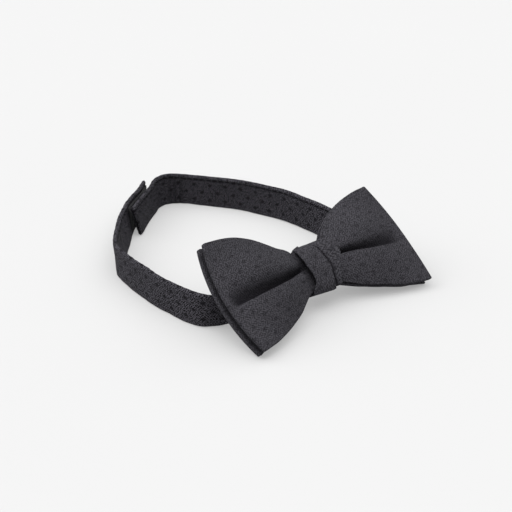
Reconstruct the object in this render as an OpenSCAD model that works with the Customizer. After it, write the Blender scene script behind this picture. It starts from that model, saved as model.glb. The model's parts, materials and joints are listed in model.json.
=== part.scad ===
// Pre-tied bow tie lying on a table: a double-layer bow, a wrapped knot, and a
// neck band that stands on its edge and closes with a hook-and-loop flap.

/* [Bow] */
// Length of the bow, from wing end to wing end
bow_length = 125; // [116:1:130]
// Height of each wing at its end fold
bow_height = 61; // [54:1:64]
// Height of the gathered waist under the knot
waist_height = 20; // [18:0.2:20]
// Angle at which the face of the bow rises from the table
bow_tilt = 40; // [36:1:44]
// How far the front plies of a wing puff out
wing_puff = 3.6; // [1:0.1:4]
// How far the table pushes the lower corner of each wing forward
lower_bend = 4; // [0:0.5:5]
// How far the upper corner of the left wing bends forward
upper_bend_left = 1.5; // [-3:0.5:3]
// How far the upper corner of the right wing bends forward
upper_bend_right = -3; // [-3:0.5:3]

/* [Knot] */
// Width of the raised outer turn of the knot
outer_turn_w = 13; // [8:0.5:14]
// Width of the inner turn of the knot
inner_turn_w = 16.4; // [12:0.2:16.6]
// Thickness of the folded cloth in each turn
turn_t = 0.8; // [0.6:0.1:0.9]

/* [Neck band] */
// Width of the band, which is its height as it stands
band_w = 20; // [18:0.5:21]
// Thickness of the band
band_t = 2.4; // [2.2:0.1:2.4]
// Thickness of one ply of the band's cloth
band_ply = 0.7; // [0.5:0.05:0.7]

/* [Closure] */
// Length of the flap from its fold to its tip
flap_len = 44.4; // [40:0.2:46]
// Distance from the flap's fold to the inner end of the band
inner_end_x = 9.2; // [8:0.2:12]
// Width of the hook and loop tapes
tape_w = 14.4; // [12:0.2:14.4]

/* [Hidden] */

cloth = [0.20, 0.20, 0.22];
cloth_dark = [0.14, 0.14, 0.155];
canvas = [0.78, 0.76, 0.70];
thread = [0.08, 0.08, 0.09];
wadding = [0.90, 0.89, 0.86];
tape = [0.12, 0.12, 0.13];

// Row frame: the middle of the object's box, at table level
origin = [0.4, 65.2, 0];

// Bow: plies are counted from the outside of the loop inwards
waist_half = 9;
half_stack = 1.9;
ply_out = [0, 0.75, 1.4];
ply_in = [0.65, 1.3, 1.85];
inner_ply_inset = 0.5;
layer_waist_mid = 2;
front_end_mid = 6.6;
back_end_mid = 1;
back_puff = 0.8;
wing_rise = 1.5;
end_bulge = 4;
upper_flare = 2.6;
lower_flare = 1.6;
rows = [-1, -0.72, -0.45, -0.2, 0, 0.2, 0.45, 0.72, 1];
stations = [0, 0.1, 0.22, 0.38, 0.56, 0.76, 0.92];
fold_angles = [60, 20, -20, -60];
bow_x = 4;
bow_y = 8.5;

// Knot: a crowned front and a flatter back, in the bow's own frame
knot_half_h = 11.4;
knot_mid = 1;
knot_front = 5.2;
knot_back = 9.2;
turn_gap = 0.1;
outer_turn_x = -8.7;

// Band: the point where it crosses behind the bow
band_n = -6.25;
bow_z = -min([for (p = loop_row(-layer_waist_mid, back_end_mid, 0, back_puff, -1, 0, 0))
  p[1] * sin(bow_tilt) + p[2] * cos(bow_tilt)]);
cross_y = bow_y - band_n * sin(bow_tilt);
cross_z = bow_z + band_n * cos(bow_tilt);
cross_lean = 90 - bow_tilt;
mid_z = band_w / 2;
seam_b = band_w / 2 - 2;
slit = 0.15;
stitch_d = 0.4;
stitch_gap = 0.12;
swing_gap = 1.4;
right_gap = 2;
peel_gap = 2.1;

// Closure frame: at the flap's fold, +x to the flap's tip and +y out of the loop
fold_x = -40;
fold_y = 124.6;
fold_turn = 36.5;
tape_base = 0.5;
tape_pile = 0.6;
tape_clear = 0.2;
tape_margin = 1.4;
strap_step = band_t + 2 * (tape_base + tape_pile) + tape_clear;
hook_start = 6;
loop_end = 46.5;

function closure_point(x, y) = [
  fold_x + x * cos(fold_turn) - y * sin(fold_turn),
  fold_y + x * sin(fold_turn) + y * cos(fold_turn)
];

// Routes of the band's middle: [x, y, z, lean towards the inside of the loop]
left_hinge = [-64.2, 53];
right_hinge = [55, 70];
fold_back = closure_point(-peel_gap / 2, 0);
straight_xs = [loop_end, loop_end - 3, loop_end - 6.5, 34, 24, inner_end_x];

left_route = [
  [fold_back[0], fold_back[1], mid_z, 0],
  [-46.6, 117.4, mid_z, 0],
  [-52.6, 109.6, mid_z + 0.05, -1],
  [-58, 101.6, mid_z + 0.05, -2],
  [-62, 93, mid_z + 0.05, -2],
  [-63.8, 84, mid_z + 0.05, -1],
  [-64.3, 73, mid_z, 0],
  [-64.4, 63, mid_z, 0],
  [left_hinge[0], left_hinge[1] + swing_gap / 2, mid_z, 0]
];
centre_route = [
  [left_hinge[0], left_hinge[1] - swing_gap / 2, mid_z, 0],
  [-62.8, 43, mid_z + 0.1, -3],
  [-60.8, 31, mid_z + 0.4, -2],
  [-58.4, 21.5, mid_z + 1.6, 8],
  [-50, 15.4, mid_z + 2.6, 26],
  [-34, 13, cross_z - 0.6, 42],
  [-18, cross_y, cross_z, cross_lean],
  [24, cross_y, cross_z, cross_lean],
  [36, 13.6, cross_z - 0.6, 42],
  [47, 18, mid_z + 2, 22],
  [53, 26.5, mid_z + 0.4, 6],
  [56, 40, mid_z + 0.1, -3],
  [56.3, 54, mid_z + 0.1, -5],
  [right_hinge[0] + 0.1, right_hinge[1] - right_gap / 2, mid_z + 0.1, -4]
];
right_route = [
  [right_hinge[0] - 0.1, right_hinge[1] + right_gap / 2, mid_z + 0.1, -4],
  [53.5, 81, mid_z + 0.1, -4],
  [50.6, 92, mid_z + 0.1, -4],
  [46.4, 103, mid_z + 0.1, -3],
  [41.5, 113, mid_z + 0.05, -2],
  [36, 122, mid_z + 0.05, -1],
  [30.2, 130, mid_z, 0],
  [24.5, 137.5, mid_z, 0],
  [18.8, 144.2, mid_z, 0],
  [13.6, 148.8, mid_z, 0],
  [8.8, 150.7, mid_z, 0],
  [4, 150, mid_z, 0],
  for (x = straight_xs) let (p = closure_point(x, -strap_step)) [p[0], p[1], mid_z, 0]
];

// Smooth curve through a route's points
function route_at(r, i) =
  i < 0 ? 2 * r[0] - r[1] :
  i >= len(r) ? 2 * r[len(r) - 1] - r[len(r) - 2] : r[i];
function curve(r, i, u) =
  let (a = route_at(r, i - 1), b = route_at(r, i), c = route_at(r, i + 1), d = route_at(r, i + 2))
  0.5 * (2 * b + (c - a) * u + (2 * a - 5 * b + 4 * c - d) * u * u
    + (3 * b - 3 * c + d - a) * u * u * u);
function slope(r, i, u) =
  let (a = route_at(r, i - 1), b = route_at(r, i), c = route_at(r, i + 1), d = route_at(r, i + 2))
  0.5 * ((c - a) + 2 * (2 * a - 5 * b + 4 * c - d) * u
    + 3 * (3 * b - 3 * c + d - a) * u * u);
function unit(v) = v / norm(v);

// Frame of the band at a place on its route: [point, along, outward, up its width]
function band_frame(r, i, u) =
  let (
    p = curve(r, i, u),
    s = slope(r, i, u),
    along = unit([s[0], s[1], 0]),
    inward = [-along[1], along[0], 0],
    outward = [-inward[0] * cos(p[3]), -inward[1] * cos(p[3]), sin(p[3])],
    up = [inward[0] * sin(p[3]), inward[1] * sin(p[3]), cos(p[3])]
  )
  [[p[0], p[1], p[2]], along, outward, up];
function place(f, s) = f[0] + s[0] * f[2] + s[1] * f[3];
function band_frames(r, steps) = [
  for (i = [0:len(r) - 2], k = [0:steps - 1]) band_frame(r, i, k / steps),
  band_frame(r, len(r) - 2, 1)
];

// Sections of the band as [outward, up its width] points
function sleeve_section() =
  let (t = band_t / 2, w = band_w / 2, ti = t - band_ply, wi = w - 0.8, c = 0.4)
  [
    [-t, seam_b - slit / 2], [-t, -w + c], [-t + c, -w], [t - c, -w], [t, -w + c],
    [t, w - c], [t - c, w], [-t + c, w], [-t, w - c], [-t, seam_b + slit / 2],
    [-ti, seam_b + slit / 2], [-ti, wi], [ti, wi], [ti, -wi], [-ti, -wi],
    [-ti, seam_b - slit / 2]
  ];
function interlining_section() =
  let (t = band_t / 2 - band_ply - 0.2, w = band_w / 2 - 1.2)
  [[-t, w], [-t, -w], [t, -w], [t, w]];

// Triangles that close the end of each section
sleeve_end = [
  [0, 1, 14], [0, 14, 15], [1, 2, 14], [2, 3, 13], [2, 13, 14], [3, 4, 13], [4, 5, 12],
  [4, 12, 13], [5, 6, 12], [6, 7, 11], [6, 11, 12], [7, 8, 11], [8, 9, 10], [8, 10, 11]
];
interlining_end = [[0, 1, 2], [0, 2, 3]];
first_cavity_wall = 10;

// A section swept along a route. Its walls from cavity on run the other way, and are
// split along their other diagonal so that they follow the walls outside them.
module sweep(r, section, end, steps, cavity) {
  frames = band_frames(r, steps);
  n = len(frames);
  m = len(section);
  points = [for (f = frames, s = section) place(f, s)];
  walls = [
    for (i = [0:n - 2], j = [0:m - 1])
      let (k = (j + 1) % m, a = i * m, b = a + m)
      each j < cavity
        ? [[a + j, a + k, b + k], [a + j, b + k, b + j]]
        : [[a + j, a + k, b + j], [a + k, b + k, b + j]]
  ];
  start = [for (f = end) [f[2], f[1], f[0]]];
  finish = [for (f = end) [for (v = f) (n - 1) * m + v]];
  polyhedron(points, concat(start, walls, finish));
}

module sleeve(r, steps) {
  sweep(r, sleeve_section(), sleeve_end, steps, first_cavity_wall);
}

module interlining(r, steps) {
  sweep(r, interlining_section(), interlining_end, steps, len(interlining_section()));
}

// One stitch lying on the inner face, across the seam near the upper edge
module seam_stitch(f) {
  p = place(f, [-band_t / 2 - stitch_d / 2 - stitch_gap, seam_b - 0.6]);
  multmatrix([
    [f[1][0], f[2][0], f[3][0], p[0]],
    [f[1][1], f[2][1], f[3][1], p[1]],
    [f[1][2], f[2][2], f[3][2], p[2]]
  ])
    cylinder(d = stitch_d, h = 1.2, $fn = 16);
}

module seam_stitches(r, first, last, per) {
  for (i = [first:last], k = [0:per - 1])
    seam_stitch(band_frame(r, i, (k + 0.5) / per));
}

module bow_frame() {
  translate([bow_x, bow_y, bow_z]) rotate([bow_tilt, 0, 0]) children();
}

module closure_frame() {
  translate([fold_x, fold_y, 0]) rotate([0, 0, fold_turn]) children();
}

module in_row() {
  translate(-origin) children();
}

// Bow surfaces, in the bow's frame: t runs from the knot, 0, to the end fold, 1
function wing_end(s) = bow_length / 2 - end_bulge * s * s;
function half_height(t, s, inset) =
  bow_height / 2 - inset
    - (bow_height - waist_height) / 2 * pow(1 - t, s > 0 ? upper_flare : lower_flare);
function layer_mid(end_mid, waist_mid, t) = waist_mid + (end_mid - waist_mid) * pow(t, 1.2);
function ridge(s, t) =
  max(0, 1 - pow(abs(s), 3) - (0.95 - 0.6 * t) * exp(-pow(s / 0.22, 2)));
function bump(t) = sin(180 * pow(t, 0.8));
function bend(side, t, s) =
  t * (lower_bend * pow((1 - s) / 2, 1.5)
    + (side > 0 ? upper_bend_right : upper_bend_left) * pow((1 + s) / 2, 1.5));
function ply_point(side, t, s, half, mid, inset) = [
  side * (waist_half + t * (wing_end(s) - half_stack - waist_half)),
  s * half_height(t, s, inset) + wing_rise * t,
  mid + half + bend(side, t, s)
];
function fold_point(side, a, r, s, mid, inset) = [
  side * (wing_end(s) - half_stack + r * cos(a)),
  s * half_height(1, s, inset) + wing_rise,
  mid + r * sin(a) + bend(side, 1, s)
];
function ply_half(face, puff, t, s, d) = face * (half_stack - d + puff * bump(t) * ridge(s, t));

// One row of a ply: once round the loop, at s up the wing and d in from its outside
function loop_row(waist_mid, end_mid, puff_f, puff_b, s, d, inset) =
  let (n = len(stations), r = half_stack - d)
  concat(
    [for (i = [0:n - 1])
      let (t = stations[i])
      ply_point(1, t, s, ply_half(1, puff_f, t, s, d), layer_mid(end_mid, waist_mid, t), inset)],
    [for (a = fold_angles) fold_point(1, a, r, s, end_mid, inset)],
    [for (i = [n - 1:-1:0])
      let (t = stations[i])
      ply_point(1, t, s, ply_half(-1, puff_b, t, s, d), layer_mid(end_mid, waist_mid, t), inset)],
    [for (i = [0:n - 1])
      let (t = stations[i])
      ply_point(-1, t, s, ply_half(-1, puff_b, t, s, d), layer_mid(end_mid, waist_mid, t), inset)],
    [for (i = [len(fold_angles) - 1:-1:0]) fold_point(-1, fold_angles[i], r, s, end_mid, inset)],
    [for (i = [n - 1:-1:0])
      let (t = stations[i])
      ply_point(-1, t, s, ply_half(1, puff_f, t, s, d), layer_mid(end_mid, waist_mid, t), inset)]
  );

module bow_ply(ply, waist_mid, end_mid, puff_f, puff_b) {
  inset = ply == 0 ? 0 : inner_ply_inset;
  outer = [for (s = rows) loop_row(waist_mid, end_mid, puff_f, puff_b, s, ply_out[ply], inset)];
  inner = [for (i = [len(rows) - 1:-1:0])
    loop_row(waist_mid, end_mid, puff_f, puff_b, rows[i], ply_in[ply], inset)];
  grid = concat(outer, inner);
  m = len(grid);
  n = len(grid[0]);
  points = [for (row = grid, p = row) p];
  faces = [
    for (i = [0:m - 1], j = [0:n - 1])
      let (k = (i + 1) % m, l = (j + 1) % n)
      each i < len(rows)
        ? [[i * n + j, k * n + l, i * n + l], [i * n + j, k * n + j, k * n + l]]
        : [[i * n + j, k * n + j, i * n + l], [k * n + j, k * n + l, i * n + l]]
  ];
  bow_frame() polyhedron(points, faces);
}

module front_ply(ply) {
  bow_ply(ply, layer_waist_mid, front_end_mid, wing_puff, 0);
}

module back_ply(ply) {
  bow_ply(ply, -layer_waist_mid, back_end_mid, 0, back_puff);
}

module front_bow_face() { color(cloth) in_row() front_ply(0); }
module front_bow_interlining() { color(canvas) in_row() front_ply(1); }
module front_bow_lining() { color(cloth_dark) in_row() front_ply(2); }
module back_bow_face() { color(cloth) in_row() back_ply(0); }
module back_bow_interlining() { color(canvas) in_row() back_ply(1); }
module back_bow_lining() { color(cloth_dark) in_row() back_ply(2); }

// Rounded outline: w across the face's height, n out of the face
function signed_pow(v, p) = sign(v) * pow(abs(v), p);
function round_outline(w, front, back, mid, sharp_f, sharp_b, grow) = [
  for (a = [0:9:351])
    let (f = a < 180, e = 2 / (f ? sharp_f : sharp_b), n = f ? front : back)
    [(w + grow) * signed_pow(cos(a), e), mid + (n + grow) * signed_pow(sin(a), e)]
];
function knot_outline(grow) =
  round_outline(knot_half_h, knot_front, knot_back, knot_mid, 4, 7, grow);

// A ring of cloth or thread round the waist, from x along the bow
module ring(x, width, outside, inside) {
  bow_frame() translate([x, 0, 0]) rotate([90, 0, 90])
    linear_extrude(width)
      difference() {
        polygon(outside);
        polygon(inside);
      }
}

module waist_thread() {
  thread_out = round_outline(11, 4.85, 4.8, 0, 8, 8, 0);
  thread_in = round_outline(10.65, 4.5, 4.45, 0, 8, 8, 0);
  color(thread) in_row()
    for (i = [0:4]) ring(-2 + i * 0.9, 0.35, thread_out, thread_in);
}

module knot_padding() {
  color(wadding) in_row() bow_frame() translate([-7, 0, 0]) rotate([90, 0, 90])
    linear_extrude(14) polygon([[-8, 5], [8, 5], [8, 5.55], [4, 5.95], [-4, 5.95], [-8, 5.55]]);
}

module knot_inner_turn() {
  color(cloth) in_row()
    ring(-inner_turn_w / 2, inner_turn_w, knot_outline(turn_t), knot_outline(0));
}

module knot_outer_turn() {
  color(cloth) in_row()
    ring(outer_turn_x, outer_turn_w, knot_outline(2 * turn_t + turn_gap), knot_outline(turn_t + turn_gap));
}

// Stitches that close the knot's outer turn at its back
module knot_stitches() {
  back = knot_mid - knot_back - 2 * turn_t - turn_gap;
  color(thread) in_row() bow_frame()
    for (i = [-2:2])
      translate([-3.4, i * 3, back - stitch_d / 2]) rotate([0, 90, 0])
        cylinder(d = stitch_d, h = 2.4, $fn = 16);
}

module band_centre() { color(cloth) in_row() sleeve(centre_route, 4); }
module band_centre_interlining() { color(canvas) in_row() interlining(centre_route, 4); }
module band_centre_stitches() {
  color(thread) in_row() {
    seam_stitches(centre_route, 0, 5, 2);
    seam_stitches(centre_route, 7, 12, 2);
  }
}

module band_left() { color(cloth) in_row() sleeve(left_route, 2); }
module band_left_interlining() { color(canvas) in_row() interlining(left_route, 2); }
module band_left_stitches() { color(thread) in_row() seam_stitches(left_route, 0, 7, 2); }

module band_right() { color(cloth) in_row() sleeve(right_route, 2); }
module band_right_interlining() { color(canvas) in_row() interlining(right_route, 2); }
module band_right_stitches() {
  color(thread) in_row() {
    seam_stitches(right_route, 0, 6, 2);
    seam_stitches(right_route, 7, 13, 1);
    seam_stitches(right_route, 14, 16, 3);
  }
}

// A column of stitches up the band, on the face at y, in the closure frame
module end_stitches(x, y) {
  for (i = [0:4])
    translate([x, y, 2.6 + i * 3.2]) cylinder(d = stitch_d, h = 2, $fn = 16);
}

module band_right_end_stitches() {
  color(thread) in_row() closure_frame()
    end_stitches(inner_end_x + 2.5, -strap_step - band_t / 2 - stitch_d / 2);
}

module flap_end_stitches() {
  color(thread) in_row() closure_frame() end_stitches(flap_len - 2.5, band_t / 2 + stitch_d / 2);
}

// A straight length of the band's section, in the closure frame
module straight(x0, x1, section) {
  closure_frame() translate([x0, 0, mid_z]) rotate([90, 0, 90])
    linear_extrude(x1 - x0) polygon(section);
}

module flap() { color(cloth) in_row() straight(peel_gap / 2, flap_len, sleeve_section()); }
module flap_interlining() {
  color(canvas) in_row() straight(peel_gap / 2, flap_len - 0.6, interlining_section());
}
module flap_stitches() {
  color(thread) in_row() closure_frame()
    for (i = [0:7])
      translate([4 + i * 5, -band_t / 2 - stitch_d / 2, mid_z + seam_b - 0.6])
        cylinder(d = stitch_d, h = 1.2, $fn = 16);
}

// A tape with a thin sewn margin round its raised pile; its pile faces side
module fastener_tape(x0, x1, y, side) {
  closure_frame() {
    translate([x0, min(y, y + side * tape_base), mid_z - tape_w / 2])
      cube([x1 - x0, tape_base, tape_w]);
    translate([
      x0 + tape_margin,
      min(y + side * tape_base, y + side * (tape_base + tape_pile)),
      mid_z - tape_w / 2 + tape_margin
    ])
      cube([x1 - x0 - 2 * tape_margin, tape_pile, tape_w - 2 * tape_margin]);
  }
}

// Rows of stitches along a tape's two long margins
module tape_stitches(x0, x1, y, side) {
  d = 0.3;
  count = floor((x1 - x0 - 2) / 3);
  closure_frame()
    for (i = [0:count - 1], edge = [-1, 1])
      translate([x0 + 1.2 + i * 3, y + side * (tape_base + d / 2), mid_z + edge * (tape_w / 2 - 0.7)])
        rotate([0, 90, 0]) cylinder(d = d, h = 1.9, $fn = 16);
}

flap_face = -band_t / 2;
inner_face = -strap_step + band_t / 2;

module hook_tape() {
  color(tape) in_row() fastener_tape(hook_start, flap_len - 0.8, flap_face, -1);
}
module hook_tape_stitches() {
  color(thread) in_row() tape_stitches(hook_start, flap_len - 0.8, flap_face, -1);
}
module loop_tape() {
  color(tape) in_row() fastener_tape(inner_end_x + 1.3, loop_end - 3, inner_face, 1);
}
module loop_tape_stitches() {
  color(thread) in_row() tape_stitches(inner_end_x + 1.3, loop_end - 3, inner_face, 1);
}

front_bow_face();
front_bow_interlining();
front_bow_lining();
back_bow_face();
back_bow_interlining();
back_bow_lining();
waist_thread();
knot_padding();
knot_inner_turn();
knot_outer_turn();
knot_stitches();
band_centre();
band_centre_interlining();
band_centre_stitches();
band_left();
band_left_interlining();
band_left_stitches();
band_right();
band_right_interlining();
band_right_stitches();
band_right_end_stitches();
loop_tape();
loop_tape_stitches();
flap();
flap_interlining();
flap_stitches();
flap_end_stitches();
hook_tape();
hook_tape_stitches();
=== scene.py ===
"""Looks of a pre-tied bow tie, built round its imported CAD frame.

Lengths are in millimetres in the row frame until a mesh is made; every mesh is in metres.
"""

import json
import math

import bmesh
import bpy
import numpy as np
from mathutils import Matrix, Vector


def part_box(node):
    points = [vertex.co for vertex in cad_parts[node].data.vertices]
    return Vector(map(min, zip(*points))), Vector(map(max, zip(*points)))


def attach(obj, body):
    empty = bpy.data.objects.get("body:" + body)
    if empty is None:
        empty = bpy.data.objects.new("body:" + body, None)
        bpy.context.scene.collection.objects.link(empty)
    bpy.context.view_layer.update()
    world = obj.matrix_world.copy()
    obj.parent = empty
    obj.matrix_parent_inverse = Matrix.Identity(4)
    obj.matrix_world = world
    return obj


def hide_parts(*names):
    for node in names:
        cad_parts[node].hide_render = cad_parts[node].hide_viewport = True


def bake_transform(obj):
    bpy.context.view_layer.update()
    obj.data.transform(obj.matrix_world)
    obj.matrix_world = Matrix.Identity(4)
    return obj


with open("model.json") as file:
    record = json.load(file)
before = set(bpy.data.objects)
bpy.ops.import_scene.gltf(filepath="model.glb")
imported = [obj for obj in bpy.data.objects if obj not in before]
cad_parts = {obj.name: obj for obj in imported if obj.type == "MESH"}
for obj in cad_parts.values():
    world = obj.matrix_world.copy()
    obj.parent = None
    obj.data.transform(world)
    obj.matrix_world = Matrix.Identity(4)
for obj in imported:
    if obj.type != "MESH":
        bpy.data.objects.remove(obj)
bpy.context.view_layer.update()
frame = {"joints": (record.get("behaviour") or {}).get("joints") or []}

MM = 0.001
JOINTS = {j["name"]: j for j in frame["joints"]}

# ---- places taken from the frame

# The left hinge as the band's route gives it, and the shift from the row frame to the route's frame
LEFT_HINGE = (-64.2, 53.0)
ORIGIN = np.append(np.array(LEFT_HINGE) - 1000 * np.array(JOINTS["band_left_swing"]["pos_m"][:2]), 0)
BOW_TILT = math.radians(40)
WAIST_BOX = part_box("waist_thread")
BOW_CENTRE = 1000 * np.array((WAIST_BOX[0] + WAIST_BOX[1]) / 2)
UP_FACE = np.array([0, math.cos(BOW_TILT), math.sin(BOW_TILT)])
OUT_OF_FACE = np.array([0, -math.sin(BOW_TILT), math.cos(BOW_TILT)])


def on_bow(x, w, n):
    """Row-frame points for x along the bow, w up its face and n out of its face."""
    x, w, n = np.broadcast_arrays(x, w, n)
    along = np.array([1.0, 0, 0])
    return BOW_CENTRE + x[..., None] * along + w[..., None] * UP_FACE + n[..., None] * OUT_OF_FACE


# ---- small maths


def ease(x):
    x = np.clip(x, 0, 1)
    return x * x * (3 - 2 * x)


def bell(x, width):
    return np.exp(-((x / width) ** 2))


def through(*points):
    """A smooth function through (place, value) points, flat beyond its ends."""
    xs, ys = np.array(points, float).T
    slope = np.gradient(ys, xs)

    def value(x):
        x = np.clip(x, xs[0], xs[-1])
        i = np.clip(np.searchsorted(xs, x, side="right") - 1, 0, len(xs) - 2)
        h = xs[i + 1] - xs[i]
        u = (x - xs[i]) / h
        return (
            ys[i] * (1 + 2 * u) * (1 - u) ** 2
            + slope[i] * h * u * (1 - u) ** 2
            + ys[i + 1] * u * u * (3 - 2 * u)
            + slope[i + 1] * h * u * u * (u - 1)
        )

    return value


def ripple(u, v, length, seed=0.0):
    """Soft waves of about one unit height and the given length, with no visible repeat."""
    k = 2 * math.pi / length
    return (
        np.sin(k * (u + 0.31 * v) + 1.3 + seed)
        + 0.7 * np.sin(k * (0.62 * v - 0.73 * u) + 4.1 + 1.7 * seed)
        + 0.5 * np.sin(k * (1.37 * u + 0.9 * v) + 2.2 + 0.6 * seed)
    ) / 1.6


def arc_length(points):
    """Distance along rows of points, measured along the last axis but one."""
    steps = np.linalg.norm(np.diff(points, axis=-2), axis=-1)
    zero = np.zeros(steps.shape[:-1] + (1,))
    return np.concatenate([zero, np.cumsum(steps, axis=-1)], axis=-1)


def unit(v):
    return v / np.maximum(np.linalg.norm(v, axis=-1, keepdims=True), 1e-9)


def section_normals(line):
    """Normals of a section's line of points, square to it in its own plane."""
    slope = np.gradient(line, axis=0)
    return unit(np.stack([slope[:, 1], -slope[:, 0]], 1))


def cloth_map(along, across):
    """Cloth coordinates of a grid, from distances along its columns and across its rows."""
    return np.stack(np.broadcast_arrays(along[:, None], across[None, :]), -1)


# ---- making meshes


def finish_mesh(name, points, faces, uvs, material, shade=None):
    """A smooth-shaded object from points in millimetres; uvs has one pair for each face corner."""
    mesh = bpy.data.meshes.new(name)
    mesh.from_pydata((np.asarray(points) * MM).tolist(), [], faces)
    if uvs is not None:
        layer = mesh.uv_layers.new(name="cloth")
        layer.data.foreach_set("uv", np.asarray(uvs, np.float32).ravel())
    # Painted shade, kept on each point as the crease attribute that the jacquard darkens by
    if shade is not None:
        attribute = mesh.attributes.new("crease", "FLOAT", "POINT")
        attribute.data.foreach_set("value", np.asarray(shade, np.float32))
    work = bmesh.new()
    work.from_mesh(mesh)
    bmesh.ops.recalc_face_normals(work, faces=work.faces)
    work.to_mesh(mesh)
    work.free()
    mesh.polygons.foreach_set("use_smooth", [True] * len(mesh.polygons))
    mesh.materials.append(material)
    obj = bpy.data.objects.new(name, mesh)
    bpy.context.scene.collection.objects.link(obj)
    return obj


def shell(name, outer, inner, uv, material, wrap=False, shade=None):
    """A thin closed solid between two grids of points (columns, rows, 3) that hold a cloth's two sides."""
    n, m = outer.shape[:2]
    i, j = np.meshgrid(np.arange(n if wrap else n - 1), np.arange(m - 1), indexing="ij")
    i, j = i.ravel(), j.ravel()
    corners = [(i, j), (i + 1, j), (i + 1, j + 1), (i, j + 1)]
    quads, maps = [], []

    def add(layers, places):
        quads.append(np.stack([k * n * m + (a % n) * m + b for k, (a, b) in zip(layers, places)], 1))
        maps.append(np.stack([uv[a, b] for a, b in places], 1))

    add([0] * 4, corners)
    add([1] * 4, corners[::-1])
    a = np.arange(n if wrap else n - 1)
    for row in (0, m - 1):
        b = np.full_like(a, row)
        add([0, 0, 1, 1], [(a, b), (a + 1, b), (a + 1, b), (a, b)])
    if not wrap:
        b = np.arange(m - 1)
        for column in (0, n - 1):
            a = np.full_like(b, column)
            add([0, 0, 1, 1], [(a, b), (a, b + 1), (a, b + 1), (a, b)])
    points = np.concatenate([outer.reshape(-1, 3), inner.reshape(-1, 3)])
    faces = np.concatenate(quads).tolist()
    both = None if shade is None else np.tile(shade.ravel(), 2)
    return finish_mesh(name, points, faces, np.concatenate(maps).reshape(-1, 2), material, both)


def tubes(name, lines, radius, material, sides=6):
    """Round threads along lines, each a list of points in millimetres, with closed and narrowed ends."""
    points, faces, uvs = [], [], []
    turn = np.linspace(0, 2 * math.pi, sides, endpoint=False)
    for line in lines:
        line = np.asarray(line, float)
        along = unit(np.gradient(line, axis=0))
        helper = np.array([0, 0, 1.0]) if abs(along[:, 2]).max() < 0.8 else np.array([1.0, 0.3, 0])
        one = unit(np.cross(along, helper))
        two = np.cross(along, one)
        start = len(points)
        length = arc_length(line)
        for k, centre in enumerate(line):
            r = radius * (0.55 if k in (0, len(line) - 1) else 1)
            for a in turn:
                points.append(centre + r * (math.cos(a) * one[k] + math.sin(a) * two[k]))
        for k in range(len(line) - 1):
            for q in range(sides):
                a, b = start + k * sides + q, start + k * sides + (q + 1) % sides
                faces.append((a, b, b + sides, a + sides))
                u, v = q / sides, (q + 1) / sides
                uvs += [(length[k], u), (length[k], v), (length[k + 1], v), (length[k + 1], u)]
        for k in (0, len(line) - 1):
            faces.append(tuple(start + k * sides + q for q in range(sides)))
            uvs += [(length[k], q / sides) for q in range(sides)]
    return finish_mesh(name, points, faces, uvs, material)


def rides(piece, body, node):
    """Fixes a piece to a body, in place of a CAD node."""
    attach(piece, body)
    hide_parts(node)


# ---- materials


class Nodes:
    """Short calls for the nodes of a tree."""

    def __init__(self, tree):
        self.tree = tree

    def join(self, value, socket):
        if isinstance(value, (int, float, tuple)):
            socket.default_value = value
        else:
            self.tree.links.new(value, socket)

    def node(self, kind, inputs=None, **settings):
        """A new node with settings, and with numbers or other nodes' outputs on its named inputs."""
        made = self.tree.nodes.new(kind)
        for key, value in settings.items():
            setattr(made, key, value)
        for key, value in (inputs or {}).items():
            self.join(value, made.inputs[key])
        return made

    def math(self, operation, *values):
        return self.node("ShaderNodeMath", dict(enumerate(values)), operation=operation).outputs[0]


class Look(Nodes):
    """A procedural material."""

    def __init__(self, name):
        self.material = bpy.data.materials.new(name)
        self.material.use_nodes = True
        super().__init__(self.material.node_tree)
        self.shader = self.tree.nodes["Principled BSDF"]

    def step(self, value, low, high, to_low=0.0, to_high=1.0):
        ends = {"From Min": low, "From Max": high, "To Min": to_low, "To Max": to_high}
        made = self.node("ShaderNodeMapRange", {"Value": value, **ends}, interpolation_type="SMOOTHSTEP")
        return made.outputs["Result"]

    def mix(self, share, a, b):
        made = self.node("ShaderNodeMix", {"Factor": share, "A": a, "B": b}, data_type="RGBA")
        return made.outputs["Result"]

    def cloth_uv(self):
        """Place on the cloth, and millimetres along and across it."""
        uv = self.node("ShaderNodeUVMap", uv_map="cloth").outputs["UV"]
        parts = self.node("ShaderNodeSeparateXYZ", {0: uv}).outputs
        return uv, parts["X"], parts["Y"]

    def noise(self, place, scale, detail=2.0, roughness=0.5, stretch=(1.0, 1.0, 1.0)):
        mapped = self.node("ShaderNodeMapping", {"Vector": place, "Scale": stretch}).outputs[0]
        inputs = {"Vector": mapped, "Scale": scale, "Detail": detail, "Roughness": roughness}
        return self.node("ShaderNodeTexNoise", inputs).outputs["Fac"]

    def object_place(self):
        return self.node("ShaderNodeTexCoord").outputs["Object"]

    def bump(self, height, distance_mm):
        made = self.node("ShaderNodeBump", {"Strength": 1.0, "Distance": distance_mm * MM, "Height": height})
        self.join(made.outputs["Normal"], self.shader.inputs["Normal"])

    def surface(self, colour, roughness, specular, sheen=0.0):
        self.join(colour, self.shader.inputs["Base Color"])
        self.join(roughness, self.shader.inputs["Roughness"])
        self.join(specular, self.shader.inputs["Specular IOR Level"])
        self.join(sheen, self.shader.inputs["Sheen Weight"])
        return self.material


# The jacquard's pattern, in millimetres of cloth
LOZENGE_PITCH = 10.0
LOZENGE_LONG = 1.6
LOZENGE_HIGH = 1.3
ZIGZAG_HIGH = 1.8
RIB_TURN = 4.4
RIB_WANDER = 7.0
CLOUDS = 0.14
JACQUARD_DARK = (0.006, 0.0056, 0.0072, 1)

# Where the band's painted shade ends, on its inner face and in the groove at its seam, across the cloth
INNER_FACE_END = (17.0, 19.5)
SEAM_GROOVE_END = (1.9, 2.9)


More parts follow.
